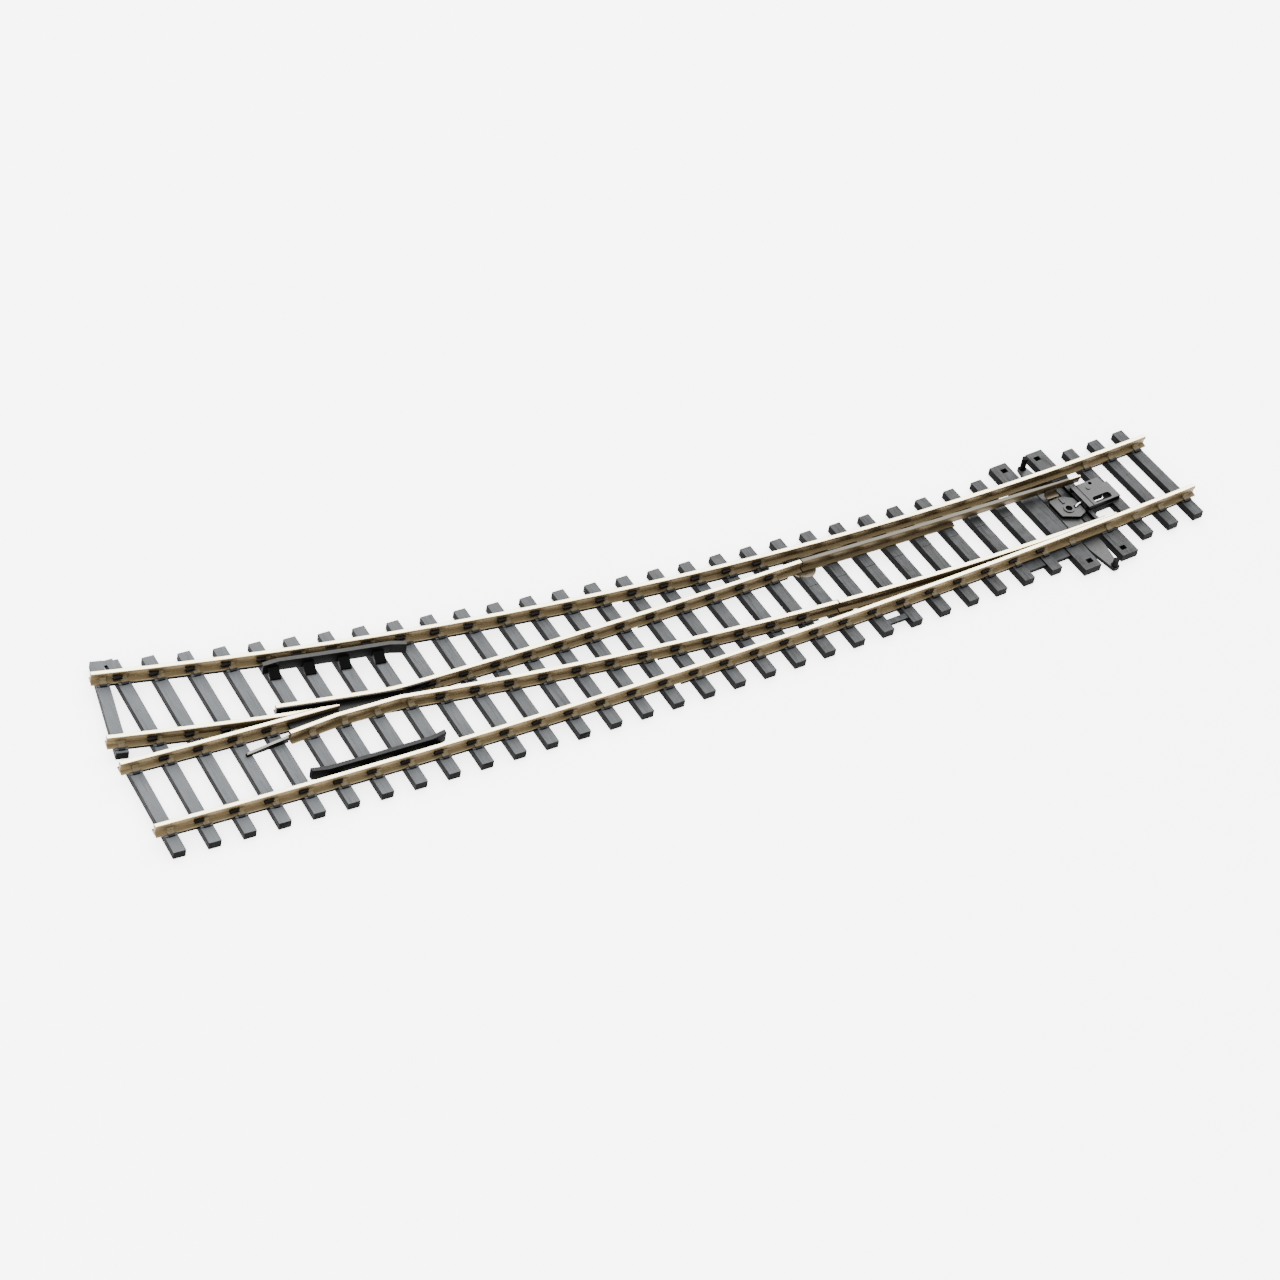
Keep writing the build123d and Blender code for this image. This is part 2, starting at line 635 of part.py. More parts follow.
def make_check_rail(side):
    """A check rail, its ends flared away from the running rail."""
    front = side == "front"
    strip = outer_strip if front else inner_strip
    point = outer_point if front else inner_point
    inward = 1 if front else -1
    near = inward * (FLANGEWAY - GAUGE / 2)
    far = near + inward * CHECK_WIDTH
    low, high = min(near, far), max(near, far)
    s_low, s_high = FRONT_CHECK_S if front else REAR_CHECK_S
    shift = inward * CHECK_FLARE_OFFSET
    body = strip(
        (s_low + CHECK_FLARE, s_high - CHECK_FLARE), rectangle(low, high, CHECK_BOTTOM, CHECK_TOP)
    )
    toe_end = flared_end(point, s_low + CHECK_FLARE, s_low, low, high, shift)
    far_end = flared_end(point, s_high - CHECK_FLARE, s_high, low, high, shift)
    pieces = [toe_end, far_end]
    if not front:
        for s in CHECK_FEET:
            outline = [
                (low + CHECK_FOOT_UNDER, SLEEPER_TOP),
                (low + CHECK_FOOT_UNDER, CHECK_FOOT_TOP[1]),
                (low - CHECK_FOOT_LEDGE, CHECK_FOOT_TOP[1]),
                (low - CHECK_FOOT_REACH, CHECK_FOOT_TOP[0]),
                (low - CHECK_FOOT_REACH, SLEEPER_TOP),
            ]
            place = inner_arc_at(s, low)
            pieces.append(across(place, CHECK_FOOT_HALF, outline, inner_normal, inner_point))
    return body.fuse(*pieces)


def make_crossing_filler(rails):
    """The moulding that fills the crossing's flangeways, with a liner on the rear wing."""
    front_edge = [(FILLER_START, inner_offset_at(FILLER_START, -RAIL_AXIS))]
    front_edge += [(KNUCKLE_END, WING_AXIS), (FRONT_WING_FLARE, WING_AXIS)]
    front_edge += [(REAR_WING_END, WING_AXIS - WING_FLARE_OFFSET * FILLER_FLARE_SHARE)]
    rear_edge = [
        (s, inner_offset_at(s, -WING_AXIS)) for s in (REAR_WING_END, *FILLER_STATIONS, KNUCKLE_END)
    ]
    rear_edge += [(FILLER_START, RAIL_AXIS)]
    floor = plate(front_edge + rear_edge, FILLER_BOTTOM, FLANGEWAY_FLOOR)
    straight_liner = outer_strip(
        (LINER_START, KNUCKLE_START - LINER_BREAK),
        rectangle(GAUGE / 2 - LINER, GAUGE / 2, FILLER_BOTTOM, LINER_TOP),
    )
    wing_face = -WING_AXIS - HEAD_WIDTH / 2
    wing_liner = inner_strip(
        (KNUCKLE_START, REAR_WING_END),
        rectangle(wing_face - LINER, wing_face, FILLER_BOTTOM, LINER_TOP),
    )
    filler = floor.fuse(straight_liner, wing_liner)
    for rail in rails:
        filler = filler - rail
    return filler


def make_wing_flare():
    """The low moulded tip that carries the front wing's flare on past the metal."""
    s_low, s_high = FLARE_PIECE_S
    t_low, t_high = FLARE_PIECE_T
    half = FLARE_PIECE_WIDTH / 2
    corners = [(s_low, t_low - half), (s_high, t_high - half)]
    corners += [(s_high, t_high + half), (s_low, t_low + half)]
    tip = plate(corners, SLEEPER_TOP, FLARE_PIECE_TOP[0])
    start = outer_point(s_low, t_low, FLARE_PIECE_TOP[0])
    end = outer_point(s_high, t_high, FLARE_PIECE_TOP[1])
    side = Vector(0, 0, 1).cross((end - start).normalized()).normalized()
    wedge_face = make_face(
        Polyline(start, end, end + Vector(0, 0, FLARE_CUT), start + Vector(0, 0, FLARE_CUT), close=True)
    )
    return tip - extrude(wedge_face, amount=FLARE_CUT, dir=side, both=True)


# ---- sleeper base ----------------------------------------------------------------------------
def front_claw(t, inner_height):
    """The claw over the front of a rail's foot, dropping to a given height past the rail."""
    return [
        (t - CHAIR_HALF, SLEEPER_TOP),
        (t - CHAIR_HALF, CHAIR_EDGE_TOP),
        (t - CHAIR_RIB_HALF, CHAIR_SHOULDER),
        (t - CHAIR_RIB_HALF, CHAIR_TOP),
        (t, CHAIR_TOP),
        (t, inner_height),
    ]


def rear_claw(t, inner_height):
    return [(2 * t - place, z) for place, z in reversed(front_claw(t, inner_height))]


def claws(t):
    """A claw on each side of a rail."""
    return front_claw(t, CHAIR_TOP)[:-2] + rear_claw(t, CHAIR_TOP)[2:]


def pad(t_low, t_high, top):
    return [(t_low, SLEEPER_TOP), (t_low, top), (t_high, top), (t_high, SLEEPER_TOP)]


def rail_pad(t):
    return pad(t - PAD_HALF, t + PAD_HALF, PAD_TOP)


def sleeper_outline(front, rear, bumps):
    top = [point for bump in bumps for point in bump]
    return [(front, 0), (front, SLEEPER_TOP)] + top + [(rear, SLEEPER_TOP), (rear, 0)]


def rail_places(s):
    """The t of the four rail lines at arc length s: front stock, two middle ones, rear stock."""
    return (
        -RAIL_AXIS,
        inner_offset_at(s, -RAIL_AXIS),
        RAIL_AXIS,
        inner_offset_at(s, RAIL_AXIS),
    )


def crossing_edges(s):
    """The outermost rails of the crossing at arc length s."""
    _, middle_front, middle_rear, _ = rail_places(s)
    if s < KNUCKLE_START + 1:
        return middle_front, middle_rear
    if s < FRONT_WING_FLARE:
        return WING_AXIS, inner_offset_at(s, -WING_AXIS)
    if s < REAR_WING_END:
        flare = (s - FRONT_WING_FLARE) / (FRONT_WING_END - FRONT_WING_FLARE)
        return WING_AXIS - WING_FLARE_OFFSET * flare, inner_offset_at(s, -WING_AXIS)
    return middle_rear, middle_front


def sleeper_bumps(s):
    """What stands on a sleeper: the pads, as wide as it is, and the narrower claws."""
    front, middle_front, middle_rear, rear = rail_places(s)
    stock_pads = (rail_pad(front), rail_pad(rear))
    outer_claws = (front_claw(front, SLEEPER_TOP), rear_claw(rear, SLEEPER_TOP))
    if s < BLADE_TIP_S:
        return stock_pads, (claws(front), claws(rear))
    if s < FIRST_SLEEPER:
        return stock_pads, outer_claws
    if s < SWITCH_END:
        slides = (
            pad(front - PAD_HALF, -SLIDE_PAD_T, SLIDE_PAD_TOP),
            pad(SLIDE_PAD_T, rear + PAD_HALF, SLIDE_PAD_TOP),
        )
        return slides, outer_claws
    first_edge, last_edge = crossing_edges(s)
    apart = last_edge - first_edge > 2 * CHAIR_HALF + CHAIR_SPACE
    if apart and (s < KNUCKLE_START - 1 or s > REAR_WING_END):
        rails = (front, min(middle_front, middle_rear), max(middle_front, middle_rear), rear)
        return [rail_pad(t) for t in rails], [claws(t) for t in rails]
    shared = pad(first_edge - PAD_HALF, last_edge + PAD_HALF, PAD_TOP)
    crossing = front_claw(first_edge, FILLER_BOTTOM) + rear_claw(last_edge, FILLER_BOTTOM)
    return (stock_pads[0], shared, stock_pads[1]), (claws(front), crossing, claws(rear))


def make_sleeper(s, half_width, front, rear, bumps, normal=outer_normal, point=outer_point):
    pads, grips = bumps
    wide = across(s, half_width, sleeper_outline(front, rear, pads), normal, point)
    narrow = across(s, CLAW_HALF_LENGTH, sleeper_outline(front, rear, grips), normal, point)
    return [wide, narrow]


def make_sleepers():
    overhang = SLEEPER_OVERHANG
    half = SLEEPER_WIDTH / 2
    pieces = []
    regular = [FIRST_SLEEPER + SLEEPER_PITCH * n for n in range(SLEEPER_COUNT - 1)]
    for s in TOE_SLEEPERS + regular:
        pieces += make_sleeper(s, half, -overhang, overhang + divergence(s), sleeper_bumps(s))
    for s in HEADBLOCKS:
        reach = HEADBLOCK_OVERHANG
        pieces += make_sleeper(s, HEADBLOCK_WIDTH / 2, -reach, reach, sleeper_bumps(s))
    ends = (-RAIL_AXIS, RAIL_AXIS)
    two_rails = ([rail_pad(t) for t in ends], [claws(t) for t in ends])
    last = FIRST_SLEEPER + SLEEPER_PITCH * (SLEEPER_COUNT - 1)
    pieces += make_sleeper(last, half, -overhang, RAIL_AXIS + LAST_SLEEPER_REACH, two_rails)
    skew = (SKEW_SLEEPER_S, half, -SKEW_SLEEPER_FRONT, overhang, two_rails)
    pieces += make_sleeper(*skew, inner_normal, inner_point)
    return pieces


def make_strips():
    """The narrow webs that tie the sleepers together under each rail."""
    def strip_outline(axis):
        half = STRIP_WIDTH / 2
        return rectangle(axis - half, axis + half, STRIP_BOTTOM, STRIP_TOP)

    bay = (HEADBLOCKS[0], HEADBLOCKS[1])
    last = FRONT_VEE_END - STRIP_END_GAP
    first_break, second_break = STRIP_BREAK
    stock_runs = [(STRIP_START, bay[0]), (bay[1], first_break), (second_break, last)]
    closure_runs = [(SWITCH_END, first_break), (second_break, last)]
    rear_runs = [(STRIP_START, TOE_SLEEPERS[-1]), (FIRST_SLEEPER, first_break), stock_runs[-1]]
    strips = [outer_strip(run, strip_outline(-RAIL_AXIS)) for run in stock_runs]
    strips += [inner_strip(run, strip_outline(RAIL_AXIS)) for run in rear_runs]
    strips += [outer_strip(run, strip_outline(RAIL_AXIS)) for run in closure_runs]
    strips += [inner_strip(run, strip_outline(-RAIL_AXIS)) for run in closure_runs]
    strips.append(outer_strip(STRAP_S, rectangle(*STRAP_T, *STRAP_Z)))
    strips.append(outer_strip(TAB_S, rectangle(*TAB_T, *TAB_Z)))
    strips.append(block(END_BRIDGE_S, END_BRIDGE_T, END_BRIDGE_Z))
    return strips


def make_sleeper_bases(rails):
    """The three base mouldings: sleepers, webs, chairs, headblocks and the spring's housing."""
    housing = block(HOUSING_S, HOUSING_T, (HOUSING_BOTTOM, SLEEPER_TOP))
    pivot_post = post(*SPRING_PIVOT, POST_RADIUS, SLEEPER_TOP - 0.2, COVER_TOP - COVER_ROOF)
    first, *others = make_sleepers()
    base = first.fuse(*others, *make_strips(), housing, pivot_post)
    boss_notch = block(BOSS_NOTCH_S, BOSS_NOTCH_T, (BOSS_NOTCH_FLOOR, CHAIR_TOP))
    toe_notch = block(TOE_NOTCH_S, TOE_NOTCH_T, (-1, SLEEPER_TOP + 1))
    base = base - boss_notch - toe_notch
    for s in SLOT_S:
        for t in (-SLOT_T, SLOT_T):
            half_s, half_t = SLOT_SIZE[0] / 2, SLOT_SIZE[1] / 2
            base = base - block((s - half_s, s + half_s), (t - half_t, t + half_t), (-1, 4))
    for side in ("front", "rear"):
        heel = heel_point(side)
        pocket = extrude(Circle(HEEL_PLATE_RADIUS + HEEL_PLATE_PLAY), amount=2)
        socket = extrude(Circle(HEEL_PIN_RADIUS), amount=2)
        base = base - Pos(heel.X, heel.Y, HEEL_PLATE_BOTTOM) * pocket
        base = base - Pos(heel.X, heel.Y, HEEL_PIN_BOTTOM) * socket
    for rail in rails:
        base = base - rail
    return sorted(base.solids(), key=lambda solid: -solid.center().X)


# ---- the whole turnout -------------------------------------------------------------------------
def build():
    front_stock = make_front_stock_rail()
    rear_stock = make_rear_stock_rail()
    front_closure = make_front_closure_rail()
    rear_closure = make_rear_closure_rail()
    front_vee = make_front_vee_rail()
    rear_vee = make_rear_vee_rail()
    crossing = [front_closure, rear_closure, front_vee, rear_vee]
    toe_base, switch_base, crossing_base = make_sleeper_bases([front_stock, rear_stock] + crossing)
    return {
        "toe_sleeper_base": toe_base,
        "switch_sleeper_base": switch_base,
        "crossing_sleeper_base": crossing_base,
        "front_stock_rail": front_stock,
        "rear_stock_rail": rear_stock,
        "front_closure_rail": front_closure,
        "rear_closure_rail": rear_closure,
        "front_vee_rail": front_vee,
        "rear_vee_rail": rear_vee,
        "crossing_filler": make_crossing_filler(crossing),
        "wing_flare": make_wing_flare(),
        "front_check_rail": make_check_rail("front"),
        "rear_check_rail": make_check_rail("rear"),
        "front_blade": make_closed_blade("front"),
        "rear_blade": opened(make_closed_blade("rear")),
        "front_blade_lug": make_closed_lug("front"),
        "rear_blade_lug": opened(make_closed_lug("rear")),
        "front_heel_plate": make_heel_plate("front"),
        "rear_heel_plate": make_heel_plate("rear"),
        "front_heel_pin": make_heel_pin("front"),
        "rear_heel_pin": make_heel_pin("rear"),
        "tie_bar": make_tie_bar(),
        "toggle_spring": make_toggle_spring(),
        "spring_cover": make_spring_cover(),
    }


def main():
    pieces = build()
    boxes = [piece.bounding_box() for piece in pieces.values()]
    middle_x = (min(box.min.X for box in boxes) + max(box.max.X for box in boxes)) / 2
    middle_y = (min(box.min.Y for box in boxes) + max(box.max.Y for box in boxes)) / 2
    shift = Pos(-middle_x, -middle_y, -min(box.min.Z for box in boxes))
    os.makedirs("parts", exist_ok=True)
    for name, piece in pieces.items():
        moved = shift * piece
        moved.label = name
        export_step(moved, f"parts/{name}.step")


main()
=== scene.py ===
import bpy
import math
from mathutils import Matrix, Vector


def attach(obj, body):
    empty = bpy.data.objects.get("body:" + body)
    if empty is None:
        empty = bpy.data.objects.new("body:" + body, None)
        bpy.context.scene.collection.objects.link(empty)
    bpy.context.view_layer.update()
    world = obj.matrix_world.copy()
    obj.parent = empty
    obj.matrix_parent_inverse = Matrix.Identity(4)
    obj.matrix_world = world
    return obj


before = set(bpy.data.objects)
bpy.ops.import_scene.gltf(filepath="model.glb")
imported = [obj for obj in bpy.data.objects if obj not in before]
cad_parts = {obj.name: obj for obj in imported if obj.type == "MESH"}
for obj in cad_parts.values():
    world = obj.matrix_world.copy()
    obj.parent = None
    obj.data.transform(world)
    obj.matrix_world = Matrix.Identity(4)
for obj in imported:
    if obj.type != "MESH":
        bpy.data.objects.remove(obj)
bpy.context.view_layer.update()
MM = 0.001

# ---- the track's own coordinates: s along the outer route from the toe, t towards the inside ----
SHIFT = Vector((128.132014, -17.844034, 0.0))
OUTER_RADIUS = 1881.0
INNER_RADIUS = 814.0
TANGENT_S = -13.2
RAIL_AXIS = 8.775
RAIL_TOP = 4.5
FIRST_SLEEPER = 42.95
SLEEPER_PITCH = 7.48
SLEEPER_COUNT = 29
SWITCH_END = 99.0
CROSSING = (187.0, 222.0)          # here the middle chairs merge into one
OUTER_CENTRE = Vector((0.0, OUTER_RADIUS, 0.0))


def outer_raw(s, t, z=0.0):
    angle = s / OUTER_RADIUS
    radius = OUTER_RADIUS - t
    return Vector((-radius * math.sin(angle), OUTER_RADIUS - radius * math.cos(angle), z))


TANGENT_ANGLE = TANGENT_S / OUTER_RADIUS
INNER_CENTRE = outer_raw(TANGENT_S, 0) + INNER_RADIUS * Vector(
    (math.sin(TANGENT_ANGLE), math.cos(TANGENT_ANGLE), 0)
)


def inner_raw(s, t, z=0.0):
    angle = TANGENT_ANGLE + (s - TANGENT_S) / INNER_RADIUS
    radius = INNER_RADIUS - t
    return INNER_CENTRE + Vector((-radius * math.sin(angle), -radius * math.cos(angle), z))


def place(raw):
    return (raw + SHIFT) * MM


def outer(s, t, z=0.0):
    return place(outer_raw(s, t, z))


def to_outer(raw):
    reach = Vector((raw.x, raw.y, 0)) - OUTER_CENTRE
    return OUTER_RADIUS * math.atan2(-reach.x, -reach.y), OUTER_RADIUS - reach.length


def inner_offset_at(s, offset):
    guess = s
    for _ in range(6):
        guess += s - to_outer(inner_raw(guess, offset))[0]
    return to_outer(inner_raw(guess, offset))[1]


# ---- node graphs --------------------------------------------------------------------------------
class Graph:
    """A small helper that builds one material's nodes."""

    def __init__(self, name):
        self.material = bpy.data.materials.new(name)
        self.material.use_nodes = True
        self.tree = self.material.node_tree
        self.shader = self.tree.nodes["Principled BSDF"]

    def set(self, name, value):
        self.shader.inputs[name].default_value = value

    def link(self, source, name):
        self.tree.links.new(source, self.shader.inputs[name])

    def node(self, kind, inputs=None, **settings):
        made = self.tree.nodes.new(kind)
        for key, value in settings.items():
            setattr(made, key, value)
        for key, value in (inputs or {}).items():
            if isinstance(value, bpy.types.NodeSocket):
                self.tree.links.new(value, made.inputs[key])
            else:
                made.inputs[key].default_value = value
        return made

    def math(self, operation, a, b=0.0, clamp=False):
        inputs = {0: a, 1: b}
        made = self.node("ShaderNodeMath", inputs, operation=operation, use_clamp=clamp)
        return made.outputs[0]

    def remap(self, value, low, high, to_low=0.0, to_high=1.0):
        inputs = {0: value, 1: low, 2: high, 3: to_low, 4: to_high}
        return self.node("ShaderNodeMapRange", inputs).outputs[0]

    def mix(self, factor, a, b):
        made = self.node("ShaderNodeMix", data_type="RGBA")
        for index, value in ((0, factor), (6, a), (7, b)):
            if isinstance(value, bpy.types.NodeSocket):
                self.tree.links.new(value, made.inputs[index])
            else:
                made.inputs[index].default_value = value
        return made.outputs[2]

    def position(self):
        return self.node("ShaderNodeTexCoord").outputs["Object"]

    def normal_z(self):
        normal = self.node("ShaderNodeNewGeometry").outputs["Normal"]
        return self.node("ShaderNodeSeparateXYZ", {0: normal}).outputs[2]

    def track(self, s_scale, t_scale, z_scale, centre, radius):
        """Texture space that follows the curve: each axis scaled on its own, per millimetre."""
        middle = place(centre)
        local = self.node("ShaderNodeVectorMath", {0: self.position(), 1: middle}, operation="SUBTRACT")
        parts = self.node("ShaderNodeSeparateXYZ", {0: local.outputs[0]}).outputs
        towards_x = self.math("MULTIPLY", parts[0], -1)
        towards_y = self.math("MULTIPLY", parts[1], -1)
        angle = self.math("ARCTAN2", towards_x, towards_y)
        along = self.math("MULTIPLY", angle, radius * s_scale)
        x_squared = self.math("MULTIPLY", parts[0], parts[0])
        y_squared = self.math("MULTIPLY", parts[1], parts[1])
        squared = self.math("ADD", x_squared, y_squared)
        distance = self.math("SUBTRACT", self.math("SQRT", squared), radius * MM)
        sideways = self.math("MULTIPLY", distance, t_scale / MM)
        height = self.math("MULTIPLY", parts[2], z_scale / MM)
        return self.node("ShaderNodeCombineXYZ", {0: along, 1: sideways, 2: height}).outputs[0]

    def noise(self, vector, scale=1.0, detail=3.0, roughness=0.5, distortion=0.0):
        inputs = {"Vector": vector, "Scale": scale, "Detail": detail}
        inputs["Roughness"] = roughness
        inputs["Distortion"] = distortion
        return self.node("ShaderNodeTexNoise", inputs).outputs["Fac"]

    def bump(self, height, strength, distance):
        made = self.node("ShaderNodeBump", {"Height": height, "Strength": strength, "Distance": distance})
        self.link(made.outputs[0], "Normal")

    def height(self):
        return self.node("ShaderNodeSeparateXYZ", {0: self.position()}).outputs[2]

    def lengthwise(self):
        return self.node("ShaderNodeSeparateXYZ", {0: self.position()}).outputs[0]

    def near(self, point, radius):
        """One within a radius of an upright axis, nought outside it."""
        away = self.node("ShaderNodeVectorMath", {0: self.position(), 1: point}, operation="SUBTRACT")
        level = {0: away.outputs[0], 1: (1, 1, 0)}
        flat = self.node("ShaderNodeVectorMath", level, operation="MULTIPLY")
        far = self.node("ShaderNodeVectorMath", {0: flat.outputs[0]}, operation="LENGTH")
        return self.remap(far.outputs["Value"], radius * 0.96, radius * 1.04, 1.0, 0.0)


def scaled(colour, factor):
    return tuple(c * factor for c in colour[:3]) + (1.0,)


def grey(value, blue=0.0):
    return (value * (1 - blue), value, value * (1 + blue), 1.0)


# Heights and places where one colour gives way to another, in millimetres; some bound painted light and
# shade.
HEAD_Z = (4.0, 4.3)
WEB_Z = (2.5, 3.4)
# Painted shade: above these heights, up to the claws, sleeper faces take the dark side colour as a
# painted shadow line beneath the rails.
SHADE_BAND_Z = (2.04, 2.08)
CLAW_Z = (2.34, 2.46)
LIGHT_GRADIENT_X = (60, -110)                # painted light: sleeper tops lighter towards the crossing
ABOVE_FADE = 0.05
TIP_FADE = 0.6


def rail_material(name, centre, radius, top, side, low, bright_from=None):
    """Drawn metal: a worn bright head; dark sides, partly tarnish and partly painted shade, darker
    towards the foot as painted shade; and a brighter tip, a painted highlight, where one is asked for.
    """
    g = Graph(name)
    g.set("Metallic", 0.92)
    drawn = g.noise(g.track(0.05, 7.0, 7.0, centre, radius), detail=4.0, roughness=0.6)
    tarnish = g.noise(g.track(0.16, 0.5, 0.8, centre, radius), detail=4.0, roughness=0.65)
    spots = g.noise(g.track(1.4, 2.0, 2.0, centre, radius), detail=5.0, roughness=0.7)
    up = g.remap(g.normal_z(), 0.72, 0.97)
    z = g.height()
    # Painted shade: below the web the sides darken towards the foot.
    foot = g.remap(z, WEB_Z[0] * MM, WEB_Z[1] * MM)
    side_colour = g.mix(foot, low, side)
    side_colour = g.mix(g.remap(tarnish, 0.35, 0.75, 0.0, 0.45), side_colour, scaled(side, 0.45))
    side_colour = g.mix(g.remap(spots, 0.62, 0.8, 0.0, 0.5), side_colour, scaled(side, 0.25))
    top_colour = g.mix(g.remap(drawn, 0.35, 0.7, 0.0, 0.12), top, scaled(top, 0.65))
    # Painted highlight: from bright_from along x the head takes the bright rail head colour.
    if bright_from is not None:
        along = g.lengthwise()
        tip = g.remap(along, bright_from * MM, (bright_from + TIP_FADE) * MM)
        top_colour = g.mix(tip, top_colour, RAIL_TOP_COLOUR)
    on_head = g.math("MULTIPLY", up, g.remap(z, HEAD_Z[0] * MM, HEAD_Z[1] * MM))
    g.link(g.mix(on_head, side_colour, top_colour), "Base Color")
    rough_side = g.remap(drawn, 0.3, 0.7, 0.42, 0.58)
    rough_top = g.remap(drawn, 0.3, 0.7, 0.16, 0.30)
    rough = g.node("ShaderNodeMix", {0: on_head, 2: rough_side, 3: rough_top}, data_type="FLOAT")
    g.link(rough.outputs[0], "Roughness")
    g.bump(drawn, 0.25, 0.02 * MM)
    return g.material


def sleeper_material(name, top, side, claw):
    """Moulded plastic with wood grain along each sleeper; tops lighter than the dark sides, partly dust
    and partly painted sheen, with painted light growing towards the crossing and a painted shadow band
    beneath the rails.
    """
    g = Graph(name)
    curve = (OUTER_CENTRE, OUTER_RADIUS)
    grain = g.noise(g.track(5.0, 0.22, 1.2, *curve), detail=5.0, roughness=0.62, distortion=0.35)
    cracks = g.noise(g.track(3.0, 0.09, 0.5, *curve), detail=3.0, roughness=0.5, distortion=0.6)
    dust = g.noise(g.track(0.30, 0.42, 0.2, *curve), detail=4.0, roughness=0.6)
    up = g.remap(g.normal_z(), 0.62, 0.93)
    top_colour = g.mix(g.remap(grain, 0.42, 0.62, 0.0, 0.85), top, scaled(top, 0.30))
    top_colour = g.mix(g.remap(cracks, 0.60, 0.70, 0.0, 0.8), top_colour, side)
    top_colour = g.mix(g.remap(dust, 0.42, 0.66, 0.0, 0.6), top_colour, scaled(top, 2.2))
    # Painted light: the tops grow lighter towards the crossing.
    along = g.lengthwise()
    painted_light_gradient = g.remap(along, LIGHT_GRADIENT_X[0] * MM, LIGHT_GRADIENT_X[1] * MM)
    top_colour = g.mix(g.math("MULTIPLY", painted_light_gradient, 0.7), top_colour, scaled(top, 6.5))
    # Upward faces take the lighter top colour, partly dust and partly painted sheen; the sides stay dark.
    plain = g.mix(up, side, top_colour)
    z = g.height()
    claw_colour = g.mix(g.remap(grain, 0.35, 0.7, 0.0, 0.6), claw, scaled(claw, 0.4))
    # Painted shade: from just above the pads up to the claws the sleeper takes the dark side colour, a
    # painted shadow line beneath the rails.
    shaded = g.mix(g.remap(z, SHADE_BAND_Z[0] * MM, SHADE_BAND_Z[1] * MM), plain, side)
    g.link(g.mix(g.remap(z, CLAW_Z[0] * MM, CLAW_Z[1] * MM), shaded, claw_colour), "Base Color")
    g.link(g.remap(up, 0.0, 1.0, 0.02, 0.22), "Specular IOR Level")
    g.link(g.remap(grain, 0.3, 0.7, 0.42, 0.62), "Roughness")
    height = g.math("SUBTRACT", grain, g.math("MULTIPLY", g.remap(cracks, 0.58, 0.70), 0.8))
    g.bump(height, 0.9, 0.09 * MM)
    return g.material


def moulded_material(name, top, side, rough=0.45, above=0.0, gloss=0.35, dark_spots=()):
    """Moulded plastic; only what faces up and lies above a height takes the lighter colour, painted light
    on one plastic whose sides keep the darker colour as painted shade.
    """
    g = Graph(name)
    speckle = g.noise(g.position(), scale=3000.0, detail=4.0, roughness=0.6)
    cloud = g.noise(g.position(), scale=260.0, detail=3.0)
    z = g.height()
    up = g.remap(g.normal_z(), 0.55, 0.92)
    up = g.math("MULTIPLY", up, g.remap(z, (above - ABOVE_FADE) * MM, above * MM))
    for point, radius in dark_spots:
        up = g.math("SUBTRACT", up, g.near(point, radius), clamp=True)
    top_colour = g.mix(g.remap(cloud, 0.35, 0.7, 0.0, 0.5), top, scaled(top, 0.7))
    g.link(g.mix(up, side, top_colour), "Base Color")
    g.link(g.remap(up, 0.0, 1.0, 0.03, gloss), "Specular IOR Level")
    g.link(g.remap(speckle, 0.3, 0.7, rough - 0.08, rough + 0.1), "Roughness")
    g.bump(speckle, 0.35, 0.02 * MM)
    return g.material


def metal_material(name, colour, dull, rough=0.3, scale=900.0):
    """Bare metal with stains and fine scratches."""
    g = Graph(name)
    g.set("Metallic", 0.95)
    scratches = g.noise(g.position(), scale=scale * 4, detail=5.0, roughness=0.7)
    stain = g.noise(g.position(), scale=scale, detail=4.0, roughness=0.6)
    g.link(g.mix(g.remap(stain, 0.4, 0.7, 0.0, 0.6), colour, dull), "Base Color")
    g.link(g.remap(scratches, 0.3, 0.7, rough - 0.08, rough + 0.14), "Roughness")
    g.bump(scratches, 0.2, 0.01 * MM)
    return g.material


RAIL_TOP_COLOUR = (0.74, 0.66, 0.44, 1)
# The side colour is dark partly from tarnish and partly as painted shade; the foot colour under it is
# darker still, painted shade.
RAIL_SIDE_COLOUR = (0.120, 0.086, 0.042, 1)
RAIL_FOOT_SHADE_COLOUR = (0.100, 0.074, 0.038, 1)
rail_colours = (RAIL_TOP_COLOUR, RAIL_SIDE_COLOUR, RAIL_FOOT_SHADE_COLOUR)
BLADE_TOP_COLOUR = (0.050, 0.046, 0.036, 1)
# Painted highlight: the open blade's tip, from this x on, is painted with the bright head colour.
BLADE_TIP_X = 102.8
blade_colours = (BLADE_TOP_COLOUR, scaled(RAIL_SIDE_COLOUR, 0.7), scaled(RAIL_FOOT_SHADE_COLOUR, 0.6))
rail_outer = rail_material("rail_outer", OUTER_CENTRE, OUTER_RADIUS, *rail_colours)
rail_inner = rail_material("rail_inner", INNER_CENTRE, INNER_RADIUS, *rail_colours)
open_blade = rail_material(
    "open_blade", OUTER_CENTRE, OUTER_RADIUS, *blade_colours, bright_from=BLADE_TIP_X
)
sleeper = sleeper_material("sleeper_grain", grey(0.0135, 0.07), grey(0.0010), (0.085, 0.066, 0.037, 1))
DASH_COLOUR = (0.002, 0.0015, 0.001, 1)
chair_plastic = moulded_material("chair_plastic", DASH_COLOUR, DASH_COLOUR, gloss=0.05)
black_moulding = moulded_material("black_moulding", grey(0.003), grey(0.0015), gloss=0.15)
